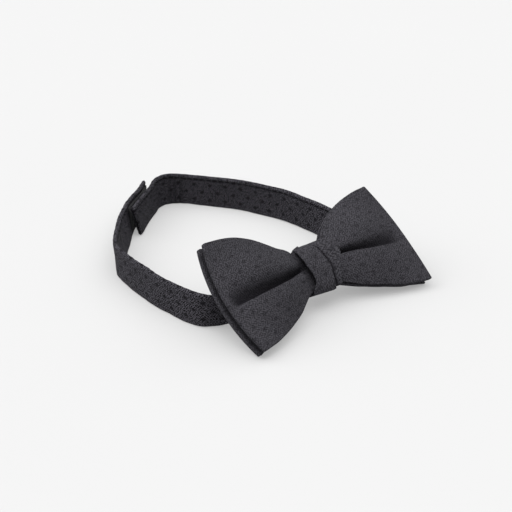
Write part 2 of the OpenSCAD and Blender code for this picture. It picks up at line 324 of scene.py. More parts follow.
def lozenges(look, u, v):
    """Small lozenges in a staggered lattice, 1 inside them and 0 outside."""

    def lattice(shift):
        places = [look.math("ADD", look.math("DIVIDE", along, LOZENGE_PITCH), shift) for along in (u, v)]
        off = [look.math("SUBTRACT", look.math("FRACT", place), 0.5) for place in places]
        across = [look.math("MULTIPLY", look.math("ABSOLUTE", away), LOZENGE_PITCH) for away in off]
        return look.math("ADD", look.math("DIVIDE", across[0], LOZENGE_LONG),
                         look.math("DIVIDE", across[1], LOZENGE_HIGH))

    return look.step(look.math("MINIMUM", lattice(0.0), lattice(0.5)), 0.75, 1.2, 1.0, 0.0)


def zigzag_crepe(look, place, u, v):
    """Height of the weave: a wandering zigzag rib and a crepe grain, half of each."""
    row = look.math("PINGPONG", v, ZIGZAG_HIGH)
    wander = look.noise(place, 0.4, detail=1.0)
    phase = look.math("ADD", look.math("MULTIPLY", look.math("ADD", u, row), RIB_TURN),
                      look.math("MULTIPLY", wander, RIB_WANDER))
    ribs = look.math("MULTIPLY_ADD", look.math("SINE", phase), 0.5, 0.5)
    crepe = look.step(look.noise(place, 1.05, roughness=0.6), 0.38, 0.62)
    return look.math("ADD", look.math("MULTIPLY", ribs, 0.5), look.math("MULTIPLY", crepe, 0.5))


def jacquard(name, light, depth, dots, seam=False):
    """Charcoal crepe with a fine zigzag weave and small darker lozenges.

    depth is the weave's darkest shade as a share of light, and dots how dark the lozenges are. For the band's
    cloth, painted shade darkens its inner face, and most of all the groove along its tucked edge.
    """
    look = Look(name)
    place, u, v = look.cloth_uv()
    dot = lozenges(look, u, v)
    weave = zigzag_crepe(look, place, u, v)
    ground = look.mix(look.step(weave, 0.15, 0.85), (*(depth * c for c in light), 1), (*light, 1))
    cloudy = look.noise(place, 0.05, detail=1.0)
    clouded = look.mix(look.step(cloudy, 0.3, 0.7, 0.0, CLOUDS), ground, JACQUARD_DARK)
    dotted = look.mix(look.math("MULTIPLY", dot, dots), clouded, JACQUARD_DARK)
    # Painted shade from the crease attribute: pleat valleys, the groove beside the knot's strip, the band's
    # corner creases and the cloth against the knot
    crease = look.node("ShaderNodeAttribute", attribute_name="crease").outputs["Fac"]
    colour = look.mix(crease, dotted, JACQUARD_DARK)
    # Painted shade on the band's inner face and in the groove along its tucked edge
    if seam:
        inner_face_shade = look.step(v, *INNER_FACE_END, 1.0, 0.0)
        groove = look.step(v, *SEAM_GROOVE_END, 0.9, 0.17)
        colour = look.mix(look.math("MULTIPLY", inner_face_shade, groove), colour, JACQUARD_DARK)
    rough = look.math("SUBTRACT", look.step(weave, 0.1, 0.9, 0.92, 0.62), look.math("MULTIPLY", dot, 0.12))
    look.bump(look.math("SUBTRACT", weave, look.math("MULTIPLY", dot, 0.5)), 0.22)
    return look.surface(colour, rough, specular=0.04)


def plain_weave(name, light, dark, threads_per_mm, height=0.06, sheen=0.05):
    """Plain over-and-under weave, for canvas, lining and tapes."""
    look = Look(name)
    place, u, v = look.cloth_uv()
    k = math.pi * threads_per_mm
    over = look.math("MULTIPLY", look.math("SINE", look.math("MULTIPLY", u, k)),
                     look.math("SINE", look.math("MULTIPLY", v, k)))
    slub = look.noise(place, 0.8, detail=3.0, stretch=(0.3, 1.6, 1.0))
    weave = look.math("ADD", look.math("MULTIPLY", over, 0.5), slub)
    colour = look.mix(look.step(weave, 0.1, 0.95), dark, light)
    look.bump(weave, height)
    return look.surface(colour, look.step(weave, 0.0, 1.0, 0.9, 0.75), 0.25, sheen)


def spun_thread(name, light, dark, twist=7.0):
    """Twisted sewing thread."""
    look = Look(name)
    place, u, v = look.cloth_uv()
    plies = look.math("MULTIPLY_ADD", look.math("SINE", look.math(
        "ADD", look.math("MULTIPLY", u, twist), look.math("MULTIPLY", v, 4 * math.pi))), 0.5, 0.5)
    colour = look.mix(look.math("ADD", look.math("MULTIPLY", plies, 0.7),
                                look.math("MULTIPLY", look.noise(place, 2.0), 0.3)), dark, light)
    look.bump(plies, 0.05)
    return look.surface(colour, look.step(plies, 0.0, 1.0, 0.6, 0.45), 0.45)


def fibres(name, light, dark, scale, height=0.25):
    """Soft matted fibres, for wadding."""
    look = Look(name)
    place = look.object_place()
    coarse = look.noise(place, scale, detail=5.0, roughness=0.75, stretch=(1.0, 2.4, 1.0))
    fine = look.noise(place, scale * 6, detail=2.0)
    mat = look.math("ADD", look.math("MULTIPLY", coarse, 0.7), look.math("MULTIPLY", fine, 0.3))
    look.bump(mat, height)
    return look.surface(look.mix(look.step(mat, 0.3, 0.7), dark, light), 0.95, 0.15, sheen=0.3)


def nylon(name, light, dark, scale):
    """Drawn nylon for hooks and pile: a little glossy, with each strand a slightly different shade."""
    look = Look(name)
    strand = look.noise(look.object_place(), scale, detail=1.0)
    look.bump(look.noise(look.object_place(), scale * 4), 0.02)
    colour = look.mix(look.step(strand, 0.35, 0.65), dark, light)
    return look.surface(colour, look.step(strand, 0.3, 0.7, 0.5, 0.35), 0.5)


def floor_paper(name):
    """Matt pale paper with a very faint tooth, lit a little from within so that shadows stay pale."""
    look = Look(name)
    place = look.object_place()
    tooth = look.noise(place, 900.0, detail=2.0)
    mottle = look.noise(place, 3.0, detail=1.0)
    colour = look.mix(mottle, (0.267, 0.267, 0.267, 1), (0.273, 0.273, 0.273, 1))
    look.shader.inputs["Emission Color"].default_value = (1, 1, 1, 1)
    look.shader.inputs["Emission Strength"].default_value = 0.31
    look.material.cycles.emission_sampling = "NONE"
    look.bump(tooth, 0.01)
    return look.surface(colour, look.step(tooth, 0.3, 0.7, 0.95, 0.9), 0.1)


# Both jacquards take painted shade from the crease attribute; the band's also paints shade on its inner face
# and in its seam groove
JACQUARD = jacquard("charcoal_jacquard", (0.0455, 0.044, 0.0505), depth=0.36, dots=0.42)
BAND_JACQUARD = jacquard("charcoal_jacquard_band", (0.060, 0.0575, 0.067), depth=0.03, dots=0.9, seam=True)
CANVAS = plain_weave("canvas_interlining", (0.60, 0.57, 0.49, 1), (0.36, 0.34, 0.28, 1), 1.6, 0.1)
LINING = plain_weave("bow_lining_twill", (0.050, 0.049, 0.056, 1), (0.018, 0.018, 0.021, 1), 3.0)
THREAD = spun_thread("black_thread", (0.016, 0.016, 0.018, 1), (0.004, 0.004, 0.0045, 1))
TAPE = plain_weave("fastener_tape_ground", (0.022, 0.022, 0.024, 1), (0.007, 0.007, 0.008, 1), 2.2, 0.1)
HOOKS = nylon("hook_nylon", (0.07, 0.07, 0.073, 1), (0.025, 0.025, 0.027, 1), 700.0)
PILE = nylon("loop_pile_nylon", (0.085, 0.085, 0.088, 1), (0.03, 0.03, 0.032, 1), 900.0)
WADDING = fibres("cotton_wadding", (0.84, 0.82, 0.78, 1), (0.62, 0.60, 0.56, 1), 260.0)

# ---- the bow's two loops

# Sizes of the loops: half the waist, and each wing's reach and the fall of its lower and upper corners
WAIST = 9.0
WING_END = {-1: 62.2, 1: 60.4}
END_BULGE = {-1: (4.8, 4.8), 1: (1.6, 3.2)}
FOLD_R = 1.4
HALF_STACK = 1.9
WING_RISE = 1.5
WING_LEN = 52
CLOTH_T = 0.35
EDGE_R = 0.6
TABLE_CLEAR = 0.5
HEM = 1.6
KNOT_RISE = 1.9
PUFF = 3.6
WAVE_HEIGHT = 0.22
WAVE_LENGTH = 19.0
# Painted shade on the face cloth across the waist, under and beside the knot
KNOT_SHADE = 0.4
LOW_ROWS = 26
HIGH_ROWS = 28
T_STEPS = np.concatenate([
    np.linspace(0, 0.1, 8)[:-1],
    np.linspace(0.1, 0.9, 42)[:-1],
    np.linspace(0.9, 1, 8),
])
FOLD_STEPS = np.radians(np.linspace(90, -90, 13)[1:-1])
WAIST_STEPS = np.linspace(-WAIST, WAIST, 17)[1:-1]

# Outlines and pleats of each wing against t, from the knot, 0, to the end fold, 1
TOP = {
    -1: through((0, 12.4), (0.02, 13.7), (0.06, 15.4), (0.13, 17.3), (0.25, 21.6),
                (0.4, 26.6), (0.55, 29.6), (0.75, 31.6), (1, 32)),
    1: through((0, 12.0), (0.03, 13.2), (0.07, 14.6), (0.13, 17.4), (0.25, 21.8),
               (0.4, 25.8), (0.6, 29.4), (0.8, 31.4), (1, 32)),
}
BOTTOM = {
    -1: through((0, -10.6), (0.05, -11.4), (0.15, -14.3), (0.27, -18), (0.4, -21),
                (0.55, -23.8), (0.75, -26.8), (1, -29)),
    1: through((0, -10), (0.05, -11.6), (0.15, -14.6), (0.27, -18), (0.4, -21),
               (0.6, -25.2), (0.8, -28.6), (1, -30.4)),
}
CREASE = {
    -1: through((0, 1.8), (0.25, -0.6), (0.52, -2.0), (0.77, -2.5), (1, -2.6)),
    1: through((0, 3.1), (0.2, 1.9), (0.58, -2.1), (1, -3.8)),
}
PLEAT_DEPTH = {
    -1: through((0, 3.4), (0.1, 5.0), (0.35, 6.6), (0.6, 6.1), (0.8, 4.4), (0.92, 1.9), (0.98, 0.4), (1, 0)),
    1: through((0, 3.2), (0.12, 5.0), (0.35, 5.6), (0.6, 4.6), (0.8, 2.8), (0.92, 1.0), (1, 0)),
}
PLEAT_HIGH = {
    -1: through((0, 2.2), (0.3, 3.8), (0.6, 5.4), (0.9, 6.5)),
    1: through((0, 1.6), (0.3, 2.4), (0.6, 4.0), (0.9, 7.0)),
}
PLEAT_LOW = {
    -1: through((0, 0.8), (0.7, 1.0), (0.85, 1.6), (1, 4)),
    1: through((0, 0.7), (0.4, 0.9), (0.7, 1.6), (1, 5)),
}
LOBE_RISE = {-1: 2.8, 1: 2.1}
LOWER_BEND = 4.0
UPPER_BEND = {-1: 1.5, 1: -3.0}

# Each loop: middle of its stack at the waist and the end, puff of its front and back, pleat or not, how much
# slimmer than the outlines it is at the waist, and the seed of its waves
LOOPS = {
    "front": {
        "waist_mid": 2.0, "end_mid": 7.1, "front_puff": PUFF, "back_puff": 0.0,
        "pleat": True, "slim": 0.0, "seed": 0.0,
    },
    "back": {
        "waist_mid": -2.0, "end_mid": 0.5, "front_puff": 0.0, "back_puff": 0.8,
        "pleat": False, "slim": 0.14, "seed": 2.6,
    },
}


def wing_rows(side, t):
    """Places of one column's rows up the face, close together at the crease."""
    low, crease, high = BOTTOM[side](t), CREASE[side](t), TOP[side](t)
    below = 1 - (1 - np.linspace(0, 1, LOW_ROWS)[:-1]) ** 1.9
    above = np.linspace(0, 1, HIGH_ROWS) ** 1.7
    return np.concatenate([low + (crease - low) * below, crease + (high - crease) * above])


def height_share(side, t, w):
    """-1 at the wing's lower edge, 0 on its middle line and 1 at its upper edge."""
    middle = WING_RISE * t
    reach = np.where(w > middle, TOP[side](t) - middle, middle - BOTTOM[side](t))
    return (w - middle) / reach


def bend(side, t, s):
    """How far a wing's lower and upper corners bend out of the bow's plane."""
    low, high = np.clip((1 - s) / 2, 0, 1) ** 1.5, np.clip((1 + s) / 2, 0, 1) ** 1.5
    return t * (LOWER_BEND * low + UPPER_BEND[side] * high)


def wing_end(side, s):
    """How far a wing reaches along the bow at a share of its height."""
    low, high = END_BULGE[side]
    return WING_END[side] - np.where(s < 0, low, high) * s * s


def pleat(side, t, w, widen):
    """Depth of the central pleat: a long slope above the crease and a steep wall below it."""
    off = w - CREASE[side](t)
    above = np.exp(-(np.maximum(off, 0) / PLEAT_HIGH[side](t)) ** 2.1)
    below = 1 - ease(-off / (PLEAT_LOW[side](t) + widen))
    return PLEAT_DEPTH[side](t) * np.where(off >= 0, above, below)


def swell(t, s):
    """Share of a wing's puff, full in its middle and none at its edges."""
    return np.sin(math.pi * t**0.8) * (1 - np.abs(s) ** 3)


def knot_rise(t, s):
    """How far the gathered cloth stands up against the knot."""
    return KNOT_RISE * bell(t, 0.2) * (1 - (s * 0.95) ** 2)


def panel(loop, face, side, t, w, widen=0.0):
    """Height out of the bow's plane of a wing's front (face 1) or back (face -1) cloth."""
    s = height_share(side, t, w)
    mid = loop["waist_mid"] + (loop["end_mid"] - loop["waist_mid"]) * t**1.2
    half = HALF_STACK + (FOLD_R - HALF_STACK) * t
    puff = loop["front_puff"] if face > 0 else loop["back_puff"]
    n = mid + face * (half + puff * swell(t, s)) + bend(side, t, s)
    waves = ripple(t * WING_LEN * side, w, WAVE_LENGTH, loop["seed"] + face)
    n = n + WAVE_HEIGHT * np.sin(math.pi * t) * waves
    if loop["pleat"] and face > 0:
        n = n + knot_rise(t, s)
        lobes = bell(s - 0.36, 0.34) + 0.75 * bell(s + 0.34, 0.34)
        n = n + LOBE_RISE[side] * np.sin(math.pi * t**1.1) * lobes
        n = n - pleat(side, t, w, widen)
        gathers = 0.32 * np.sin(9.5 * s + 2.1 * side) + 0.2 * np.sin(17 * s + side)
        n = n + gathers * bell(t, 0.16) * (1 - s * s)
    return n


def painted_pleat_and_knot_shade(loop, face, side, t, w):
    """How much painted shade darkens the cloth in the pleat's valley and where it meets the knot."""
    if face < 0 or not loop["pleat"]:
        return np.zeros_like(w)
    depth = PLEAT_DEPTH[side](t)
    inside = pleat(side, t, w, 0.0) / np.maximum(depth, 0.1)
    return np.clip(0.88 * inside**1.3 * ease(depth / 3.0) + 0.3 * bell(t, 0.03), 0, 0.92)


def loop_grid(loop, depth, widen=0.0):
    """The loop's cloth at a depth from its outside, once round: (x, w, n, painted shade) by column and row.
    """
    columns = []

    def wing(side, face, ts):
        for t in ts:
            w = wing_rows(side, t) * (1 - loop["slim"] * (1 - t**2))
            s = height_share(side, t, w)
            x = side * (WAIST + t * (wing_end(side, s) - FOLD_R - WAIST))
            n = panel(loop, face, side, t, w, widen) - face * depth
            columns.append(np.stack([x, w, n, painted_pleat_and_knot_shade(loop, face, side, t, w)], 1))

    def fold(side, angles):
        w = wing_rows(side, 1.0)
        s = height_share(side, 1.0, w)
        r = FOLD_R - depth
        for a in angles:
            x = side * (wing_end(side, s) - FOLD_R + r * math.cos(a))
            n = loop["end_mid"] + r * math.sin(a) + bend(side, 1.0, s)
            columns.append(np.stack([x, w, n, np.zeros_like(w)], 1))

    def waist(face, xs):
        left, right = (wing_rows(side, 0.0) * (1 - loop["slim"]) for side in (-1, 1))
        n_left = panel(loop, face, -1, 0.0, left, widen)
        n_right = panel(loop, face, 1, 0.0, right, widen)
        flat = loop["waist_mid"] + face * HALF_STACK
        for x in xs:
            share = (x + WAIST) / (2 * WAIST)
            n = n_left + (n_right - n_left) * ease(share)
            n = flat + (n - flat) * ease((abs(x) - 3.5) / (WAIST - 3.5))
            w = left + (right - left) * ease(share)
            same = np.ones_like(w)
            columns.append(np.stack([x * same, w, n - face * depth, KNOT_SHADE * same], 1))

    wing(1, 1, T_STEPS)
    fold(1, FOLD_STEPS)
    wing(1, -1, T_STEPS[::-1])
    waist(-1, WAIST_STEPS[::-1])
    wing(-1, -1, T_STEPS)
    fold(-1, FOLD_STEPS[::-1])
    wing(-1, 1, T_STEPS[::-1])
    waist(1, WAIST_STEPS)
    return np.array(columns)


def grid_normals(grid):
    """Unit normals of a grid that closes on itself along its columns, pointing out of the loop."""
    along = np.roll(grid, -1, 0) - np.roll(grid, 1, 0)
    across = np.gradient(grid, axis=1)
    return unit(np.cross(across, along))


def loop_uv(grid, row):
    """Cloth coordinates of a loop's grid, with one more column so that they don't jump at the join."""
    closed = np.concatenate([grid, grid[:1]])
    along = arc_length(closed[:, row][None])[0]
    across = arc_length(closed)
    return np.stack([np.broadcast_to(along[:, None], across.shape), across], -1)


def hem_section():
    """A folded edge and its hem: (out, inward) of the cloth's two sides, and the distance round it."""
    section = []
    for a in np.radians(np.linspace(0, 180, 9))[1:]:
        sides = [(r * math.sin(a), EDGE_R - r * math.cos(a)) for r in (EDGE_R, EDGE_R - CLOTH_T)]
        section.append((*sides, EDGE_R * a))
    for k in np.linspace(0, HEM, 4)[1:]:
        sides = [(-k, EDGE_R + r) for r in (EDGE_R, EDGE_R - CLOTH_T)]
        section.append((*sides, EDGE_R * math.pi + k))
    return section


def face_cloth(name, loop):
    """The loop's outer cloth: its face, its two folded edges and the hems turned in behind them."""
    grid = loop_grid(loop, 0.0)
    points = on_bow(grid[..., 0], grid[..., 1], grid[..., 2])
    points[..., 2] = np.maximum(points[..., 2], TABLE_CLEAR)
    normal = grid_normals(points)
    if np.sum(normal[3, LOW_ROWS] * OUT_OF_FACE) < 0:
        normal = -normal
    uv = loop_uv(grid, LOW_ROWS)
    uv = uv - uv[:, LOW_ROWS : LOW_ROWS + 1] * (0, 1)
    rows = []

    def edge(row, neighbour, direction):
        """Round the edge at a row and back along the hem."""
        out = unit(points[:, row] - points[:, neighbour])
        for *sides, distance in hem_section():
            turned = [points[:, row] + (out * far - normal[:, row] * deep) for far, deep in sides]
            rows.append((*turned, uv[:, row] + np.array([0, direction * distance]), grid[:, row, 3]))

    edge(0, 1, -1)
    rows.reverse()
    for row in range(points.shape[1]):
        side = points[:, row]
        rows.append((side, side - normal[:, row] * CLOTH_T, uv[:, row], grid[:, row, 3]))
    edge(points.shape[1] - 1, points.shape[1] - 2, 1)
    outer, inner, maps, shade = (np.stack(pile, 1) for pile in zip(*rows))
    return shell(name, outer, inner, maps, JACQUARD, wrap=True, shade=shade)


def inner_ply(name, loop, depths, inset, material):
    """A flat ply inside the loop between two depths, stopping short of the folded edges."""
    grids = []
    for depth in depths:
        grid = loop_grid(loop, depth, widen=2.4)[:, ::2]
        low, high = grid[:, :1, 1], grid[:, -1:, 1]
        share = (grid[..., 1] - low) / (high - low)
        height = high - low
        w = low + inset + share * (height - 2 * inset)
        grids.append(on_bow(grid[..., 0], w, grid[..., 2]))
    uv = loop_uv(grids[0], grids[0].shape[1] // 2)
    return shell(name, grids[0], grids[1], uv, material, wrap=True)


def make_bow():
    for which, loop in LOOPS.items():
        cloth = face_cloth(f"{which}_bow_cloth", loop)
        canvas = inner_ply(f"{which}_bow_canvas", loop, (0.42, 0.74), 0.9, CANVAS)
        lining = inner_ply(f"{which}_bow_lining_cloth", loop, (0.86, 1.12), 2.4, LINING)
        for piece, node, slot, flat, area in (
            (cloth, "face", "jacquard", (0.068, 0.25), 0.0122),
            (canvas, "interlining", "interlining", (0.060, 0.247), 0.0101),
            (lining, "lining", "bow_lining", (0.056, 0.245), 0.0094),
        ):
            rides(piece, "bow", f"{which}_bow_{node}")


# ---- knot

# The knot's section: its middle out of the bow, half its height, and its depth in front and behind
KNOT_MID = 1.0
KNOT_HALF = 11.4
KNOT_FRONT = 5.2
KNOT_BACK = 9.2
KNOT_STEPS = 120
KNOT_RAISE = 1.2
BACK_TURN_W = 15.0
TURN_W = 13.0
EDGE_LIFT = 0.35
GROOVE = 1.3
SHARP_FRONT = 2.8
SHARP_BACK = 7.0

STITCH_POINTS = 7

# Edges of the knot's two turns on the front: x against w
INNER_LEFT = through((-12, -7.6), (-7.4, -5.2), (-4, -4.9), (4, -5.6), (12, -5.4))
INNER_RIGHT = through((-12, 10.4), (-7.5, 11.1), (-1.4, 14.4), (4, 17.4), (8, 16.4), (12, 12.5))
STRIP_LEFT = through((-12, -9.0), (-11, -8.8), (-7.3, -6.4), (-4, -5.95), (0, -6.45),
                     (4, -6.95), (8.4, -7.3), (12, -7.0))
STRIP_RIGHT = through((-12, 5.4), (-7.6, 5.0), (-2.4, 6.5), (3.3, 5.8), (8, 4.75),
                      (11.3, 2.9), (12.5, -0.6), (13.2, -3.5))


def strip_groove(w):
    """Where the raised strip's right edge presses into the turn under it."""
    return STRIP_RIGHT(KNOT_RAISE + 1.1 * (w - KNOT_RAISE))


def ring_path(grow):
    """Closed outline round the waist as (w, n) and its outward normals, starting behind."""
    a = np.radians(-90) + np.linspace(0, 2 * math.pi, KNOT_STEPS, endpoint=False)
    c, s = np.cos(a), np.sin(a)
    power = 2 / np.where(s > 0, SHARP_FRONT, SHARP_BACK)
    depth = np.where(s > 0, KNOT_FRONT, KNOT_BACK) + grow
    path = np.stack([
        KNOT_RAISE + (KNOT_HALF + grow) * np.sign(c) * np.abs(c) ** power,
        KNOT_MID + depth * np.sign(s) * np.abs(s) ** power,
    ], 1)
    tangent = unit(np.roll(path, -1, 0) - np.roll(path, 1, 0))
    return path, np.stack([tangent[:, 1], -tangent[:, 0]], 1)


def folded_strip(width, thick, gap=0.7):
    """Centre line of a strip's cloth, folded in along both edges to meet behind: (x, height) points."""
    r = (thick - CLOTH_T) / 2
    half = width / 2 - r - CLOTH_T / 2
    edge = np.radians(np.linspace(-90, 90, 9))
    right = np.stack([half + r * np.cos(edge), r * np.sin(edge)], 1)
    left = np.stack([-half - r * np.cos(edge), -r * np.sin(edge)], 1)
    back_right = np.stack([np.linspace(gap / 2, half, 7)[:-1], np.full(6, -r)], 1)
    front = np.stack([np.linspace(half, -half, 49)[1:-1], np.full(47, r)], 1)
    back_left = np.stack([np.linspace(-half, -gap / 2, 7)[1:], np.full(6, -r)], 1)
    return np.concatenate([back_right, right, front, left, back_left])


def over_wing(x, w):
    """Height of the right wing's cloth beside the knot, as if it had no pleat."""
    t = np.clip((x - WAIST) / (WING_END[1] - WAIST), 0, 1)
    s = np.clip(height_share(1, t, w), -1, 1)
    return LOOPS["front"]["waist_mid"] + HALF_STACK + knot_rise(t, s) + PUFF * swell(t, s)


def across_back(edge, w):
    """Where a turn's edge lies behind the knot, straight between its places at the top and bottom."""
    low, high = KNOT_RAISE - KNOT_HALF, KNOT_RAISE + KNOT_HALF
    return edge(low) + (edge(high) - edge(low)) * np.clip((w - low) / (high - low), 0, 1)


def turn_edges(left, right, w, front):
    """Where a turn's edges lie at a height: as given where front is 1, and straight across where it is 0."""
    x0 = left(w) + (across_back(left, w) - left(w)) * (1 - front)
    x1 = right(w) + (min(across_back(right, w), x0 + BACK_TURN_W) - right(w)) * (1 - front)
    return x0, x1


def knot_slope(x, w, n):
    """Shift that tilts the knot: lower at its right underside and left top, and closer in behind."""
    top, low = ease((w - 3) / 9), ease((-w - 3) / 8)
    up = top * (0.8 - 1.6 * ease((1 - x) / 8) - 0.28 * max(2.0 - n, 0))
    return up + low * (0.28 * max(1.5 - n, 0) - 0.09 * (x + 9))


def wrap_turn(name, left, right, grow, thick, crown, seed, groove=None):
    """A folded strip of cloth once round the knot.

    left and right give its edges against w on the front. It lies grow further out than the inner turn, and
    groove gives the place where another strip presses into it.
    """
    path, normal = ring_path(grow + thick / 2)
    line = folded_strip(TURN_W, thick)
    cross = section_normals(line)
    distance = arc_length(path[None])[0]
    on_front = ease((path[:, 1] - KNOT_MID + 1.5) / 4)
    share = line[:, 0] / (TURN_W / 2)
    grids = []
    shade = np.zeros((KNOT_STEPS, len(line)))
    for side in (0.5, -0.5):
        columns = []
        for k in range(KNOT_STEPS):
            w, n = path[k]
            x0, x1 = turn_edges(left, right, w, on_front[k])
            middle = (x0 + x1) / 2 + share * (x1 - x0) / 2
            x = middle + side * CLOTH_T * cross[:, 0]
            lift = line[:, 1] + side * CLOTH_T * cross[:, 1]
            lift = lift + (crown * (1 - share**2) + EDGE_LIFT * np.maximum(share, 0) ** 3) * on_front[k]
            lift = lift + 0.12 * ripple(distance[k], x, 9.0, seed) * on_front[k]
            if groove:
                dip = bell(middle - groove(w) - 0.5, 1.0) * (line[:, 1] > 0)
                lift = lift - GROOVE * dip * on_front[k]
                # Painted shade along the groove beside the raised strip's edge
                shade[k] = np.minimum(1.3 * bell(middle - groove(w) - 1.0, 1.2), 1) * on_front[k]
            over = np.maximum(over_wing(middle, w) + 0.1 - n, 0) * on_front[k]
            place = w + normal[k, 0] * lift
            columns.append(on_bow(x, place + knot_slope(x, place, n), n + normal[k, 1] * lift + over))
        grids.append(np.array(columns))
    along = np.append(distance, distance[-1] + np.linalg.norm(path[0] - path[-1]))
    across = arc_length(line[None])[0]
    uv = cloth_map(along, across + seed)[..., ::-1]
    return shell(name, grids[0], grids[1], uv, JACQUARD, wrap=True, shade=shade)


def wadding_pad():
    """The soft pad under the knot's turns, thinner at its edges."""
    u, v = np.meshgrid(np.linspace(-1, 1, 25), np.linspace(-1, 1, 25), indexing="ij")
    x, w = 0.8 + 3.8 * u * np.sqrt(1 - v * v / 3), 7.6 * v * np.sqrt(1 - u * u / 3)
    edge = (1 - u**4) * (1 - v**4)
    lump = 0.06 * ripple(x, w, 5.0, 1.0)
    floor_n = 4.2 + 1.3 * ease((np.abs(x) - 3.5) / 5.5)
    top_n = np.maximum(5.0 + (0.85 + lump) * edge, floor_n + 0.15)
    uv = np.stack([x, w], -1)
    return shell("knot_wadding", on_bow(x, w, top_n), on_bow(x, w, floor_n), uv, WADDING)


def waist_binding():
    """Thread wound round the waist under the knot."""
    turns, steps = 5, 64
    a = np.linspace(0, 2 * math.pi * turns, turns * steps)
    c, s = np.cos(a - math.pi / 2), np.sin(a - math.pi / 2)
    w = 10.85 * np.sign(c) * np.abs(c) ** 0.25
    n = 4.68 * np.sign(s) * np.abs(s) ** 0.25
    x = -2.0 + 0.9 * (turns - 1) * a / a[-1]
    return tubes("waist_binding_thread", [on_bow(x, w, n)], 0.2, THREAD)


def knot_back_stitches():
    """Slip stitches that close the outer turn behind the knot."""
    share = np.linspace(0, 1, STITCH_POINTS)
    x = -3.4 + 2.4 * share
    n = KNOT_MID - KNOT_BACK - 2.3 - 0.14 * np.sin(math.pi * share)
    lines = [on_bow(x, 2.4 * k + 0.7 * share, n) for k in range(-3, 4)]
    return tubes("knot_back_slip_stitches", lines, 0.18, THREAD)


def make_knot():
    inner = wrap_turn("knot_inner_wrap", INNER_LEFT, INNER_RIGHT, grow=0.0, thick=0.8, crown=0.1, seed=1.0,
                      groove=strip_groove)
    outer = wrap_turn("knot_outer_wrap", STRIP_LEFT, STRIP_RIGHT, grow=0.9, thick=1.35, crown=0.35, seed=3.0)
    pad, thread, stitches = wadding_pad(), waist_binding(), knot_back_stitches()
    for piece, node, slot in (
        (inner, "knot_inner_turn", "jacquard"),
        (outer, "knot_outer_turn", "jacquard"),
        (pad, "knot_padding", "wadding"),
        (thread, "waist_thread", "thread"),
        (stitches, "knot_stitches", "thread"),
    ):
        rides(piece, "bow", node)


# ---- neck band

MID_Z = 10.0
CLOSURE_TURN = math.radians(36.5)
PEEL = 1000 * np.array(JOINTS["closure_peel"]["pos_m"]) + ORIGIN
FLAP_LEN = 44.4
INNER_END = 9.2
CROSS_LEAN = 50.0
BAND_BEHIND = -6.25
CROSS = BOW_CENTRE + ORIGIN + BAND_BEHIND * OUT_OF_FACE


def closure(x, y):
    """Point of the closure: x from its fold to the flap's tip, y out of the loop."""
    c, s = math.cos(CLOSURE_TURN), math.sin(CLOSURE_TURN)
    return [PEEL[0] + x * c - y * s, PEEL[1] + x * s + y * c]


def upright(x, y, lean=0.0):
    """A point of the route on the closure."""
    return [*closure(x, y), MID_Z, lean]


# The band's middle, [x, y, z, lean in degrees], from the flap's tip round the neck to the inner end
ROUTE = [
    upright(FLAP_LEN, 1.1), upright(33, 0.8, -2), upright(22, 0.6, -4), upright(11, -0.1, -7.5),
    upright(0, -2.1, -11.5), [-46.8, 113.6, 10.2, -11.5], [-53.1, 105.9, 10.15, -10],
    [-58.5, 99.7, 10.1, -6.5], [-62.4, 93.6, 10.05, -3],
    [-63.9, 84, 10.05, -1], [-64.3, 73, 10, 0], [-64.4, 63, 10, 0], [-64.2, 53, 10, 0],
    [-62.8, 43, 10.1, -2], [-61.0, 32, 10.1, 0], [-57.8, 23.4, 10.1, -4], [-50.5, 17.6, 10.1, -9],
    [-42, 14.6, 12.4, 14], [-34, 13, CROSS[2] - 0.6, 42], [-18, CROSS[1], CROSS[2], CROSS_LEAN],
    [3, CROSS[1], CROSS[2], CROSS_LEAN], [24, CROSS[1], CROSS[2], CROSS_LEAN],
    [36, 13.6, CROSS[2] - 0.6, 42], [47, 18, 12, 22], [53, 26.5, 10.4, 6], [56, 40, 10.1, -3],
    [56.3, 54, 10.1, -5], [55, 70, 10.1, -4], [53.5, 81, 10.1, -4], [50.6, 92, 10.1, -4],
    [46.4, 103, 10.1, -3], [41.5, 113, 10.05, -2], [36, 122, 10.05, -1], [30.2, 130, 10, 0],
    [24.5, 137.5, 10, 0], [18.8, 144.2, 10, 0], [13.4, 149.2, 10, -2], [8.6, 151.2, 10, -4],
    [3.6, 150.5, 10, -4], upright(46.5, -4.5, -4), upright(43.5, -4.8, -3), upright(40, -4.9, -2),
    upright(34, -5.0, -2), upright(24, -5.2, -4), upright(INNER_END, -5.6, -7.5),
]
FOLD_AT, BAND_CUT_AT, LEFT_AT, KNOT_AT, RIGHT_AT, CORNER_AT = 4, 9, 12, 20, 27, 36


